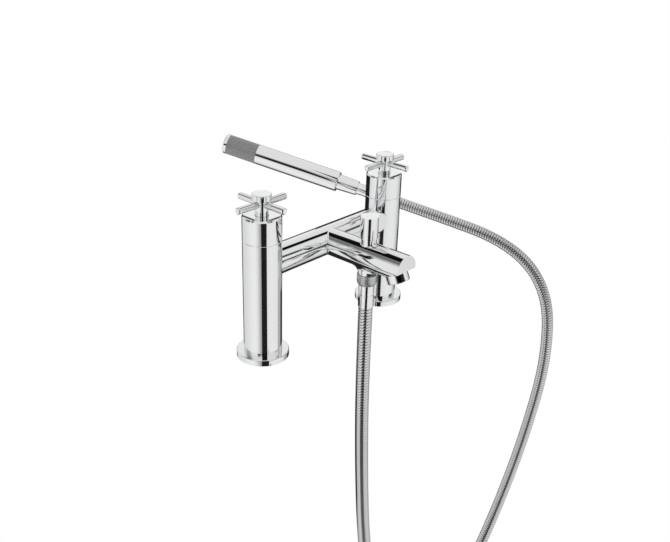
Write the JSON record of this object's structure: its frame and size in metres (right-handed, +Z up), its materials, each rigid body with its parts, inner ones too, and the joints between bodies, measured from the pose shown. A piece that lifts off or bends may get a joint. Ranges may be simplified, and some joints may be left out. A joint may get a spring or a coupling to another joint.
{
  "type": "bath shower mixer",
  "caption": "Deck mounted bath mixer with cross-head handles, a bridge and spout, a diverter knob, and a pencil handset on a metal hose.",
  "frame": {"origin": "on the bath deck, midway between the two pillars", "axes": "+X along the bridge towards the right-hand pillar, -Y out along the spout, +Z up"},
  "size_m": [0.4636, 0.4275, 0.6824],
  "materials": {
    "chrome": "polished chrome plate",
    "hose_steel": "bright chromed spiral hose",
    "brass": "machined, unplated",
    "rubber": "matt black",
    "ceramic": "ground ceramic",
    "steel": "plain stainless steel",
    "spray_grey": "satin grey with fine jets",
    "white_plastic": "moulded acetal"
  },
  "bodies": {
    "mixer": {"left_pillar": "chrome", "left_shroud": "chrome", "left_base_flange": "chrome", "left_deck_gasket": "rubber", "left_inlet_tail": "brass", "left_deck_washer": "steel", "left_backnut": "brass", "left_cartridge": "brass", "left_seat_seal": "rubber", "left_fixed_disc": "ceramic", "left_bridge_oring": "rubber", "right_pillar": "chrome", "right_shroud": "chrome", "right_base_flange": "chrome", "right_deck_gasket": "rubber", "right_inlet_tail": "brass", "right_deck_washer": "steel", "right_backnut": "brass", "right_cartridge": "brass", "right_seat_seal": "rubber", "right_fixed_disc": "ceramic", "right_bridge_oring": "rubber", "bridge_body": "chrome", "aerator_housing": "chrome", "aerator_insert": "white_plastic", "aerator_seal": "rubber", "diverter_body": "brass", "diverter_oring": "rubber", "check_valve": "white_plastic", "hose_nut": "chrome", "hose_washer": "rubber", "outlet_ferrule": "chrome", "shower_hose": "hose_steel", "handset_ferrule": "chrome"},
    "left_handle": {"left_handle_hub": "chrome", "left_handle_spokes": "chrome", "left_handle_screw": "steel", "left_handle_cap": "chrome", "left_spindle": "brass", "left_turning_disc": "ceramic"},
    "right_handle": {"right_handle_hub": "chrome", "right_handle_spokes": "chrome", "right_handle_screw": "steel", "right_handle_cap": "chrome", "right_spindle": "brass", "right_turning_disc": "ceramic"},
    "diverter": {"diverter_knob": "chrome", "diverter_spindle": "brass", "diverter_grub_screw": "steel"},
    "handset": {"cone_nut": "chrome", "cone_washer": "rubber", "handset_plug": "chrome", "handset_oring": "rubber", "handset_tube": "chrome", "spray_sleeve": "spray_grey", "spray_core": "white_plastic", "handset_end_cap": "chrome"}
  },
  "joints": [
    {"name": "left_handle_turn", "type": "hinge", "parent": "mixer", "child": "left_handle", "pos_m": [-0.09, 0, 0.159], "axis": [0, 0, 1], "range_deg": [0, 90]},
    {"name": "right_handle_turn", "type": "hinge", "parent": "mixer", "child": "right_handle", "pos_m": [0.09, 0, 0.159], "axis": [0, 0, 1], "range_deg": [-90, 0]},
    {"name": "diverter_turn", "type": "hinge", "parent": "mixer", "child": "diverter", "pos_m": [0, -0.056, 0.129], "axis": [0, 0, 1], "range_deg": [-90, 0]},
    {"name": "handset_swivel", "type": "hinge", "parent": "mixer", "child": "handset", "pos_m": [0.228, 0.152, 0.0575], "axis": [-0.4541, 0.8612, 0.2284], "continuous": true}
  ]
}
